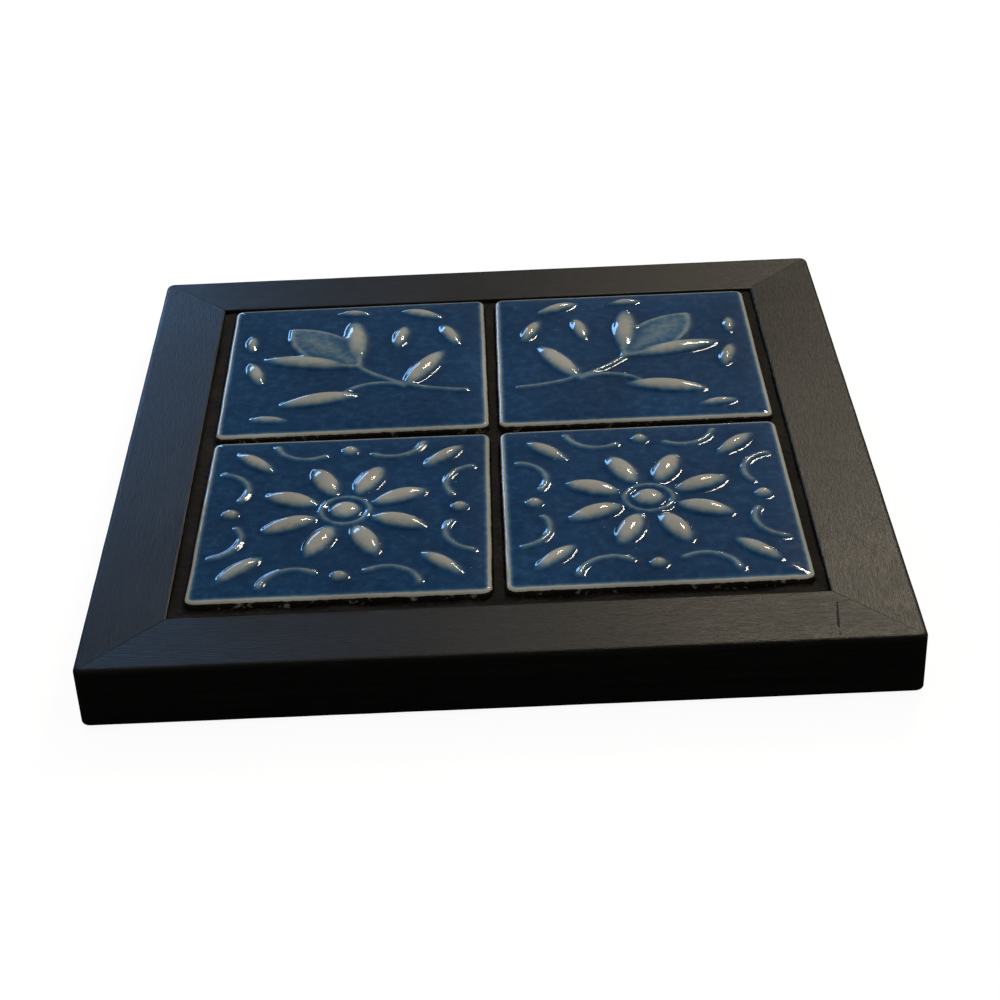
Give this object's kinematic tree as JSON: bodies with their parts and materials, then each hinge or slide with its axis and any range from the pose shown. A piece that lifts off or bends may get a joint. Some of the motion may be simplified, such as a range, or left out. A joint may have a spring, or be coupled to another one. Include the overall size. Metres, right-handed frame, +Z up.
{
  "type": "trivet",
  "caption": "Square table trivet: glazed relief tiles, laid in dark filler on a board, in a mitred black wooden frame on thin felt pads.",
  "frame": {"origin": "on the table, under the middle of the frame: the centre of the bottom of the part's box", "axes": "+Z up, out of the tiles' faces; +X to the right and +Y to the back, along the rails"},
  "size_m": [0.2, 0.2, 0.0208],
  "materials": {
    "black_wood": "black stain under a thin satin varnish, fine grain still showing",
    "plywood": "bare, lightly sanded",
    "dark_filler": "rough, granular, cast by hand",
    "blue_glaze": "glossy blue glaze, deep where it pools and grey-beige where it runs thin",
    "tile_adhesive": "matt, cement based",
    "zinc_steel": "bright zinc plate",
    "black_felt": "pressed felt"
  },
  "bodies": {
    "root": {"front_rail": "black_wood", "back_rail": "black_wood", "left_rail": "black_wood", "right_rail": "black_wood", "backing_board": "plywood", "joint_filler": "dark_filler", "tile_front_left": "blue_glaze", "tile_front_right": "blue_glaze", "tile_back_left": "blue_glaze", "tile_back_right": "blue_glaze", "bed_front_left": "tile_adhesive", "bed_front_right": "tile_adhesive", "bed_back_left": "tile_adhesive", "bed_back_right": "tile_adhesive", "corner_v_nails": "zinc_steel", "board_screws": "zinc_steel", "pad_front_left": "black_felt", "pad_front_right": "black_felt", "pad_back_left": "black_felt", "pad_back_right": "black_felt"}
  },
  "joints": []
}
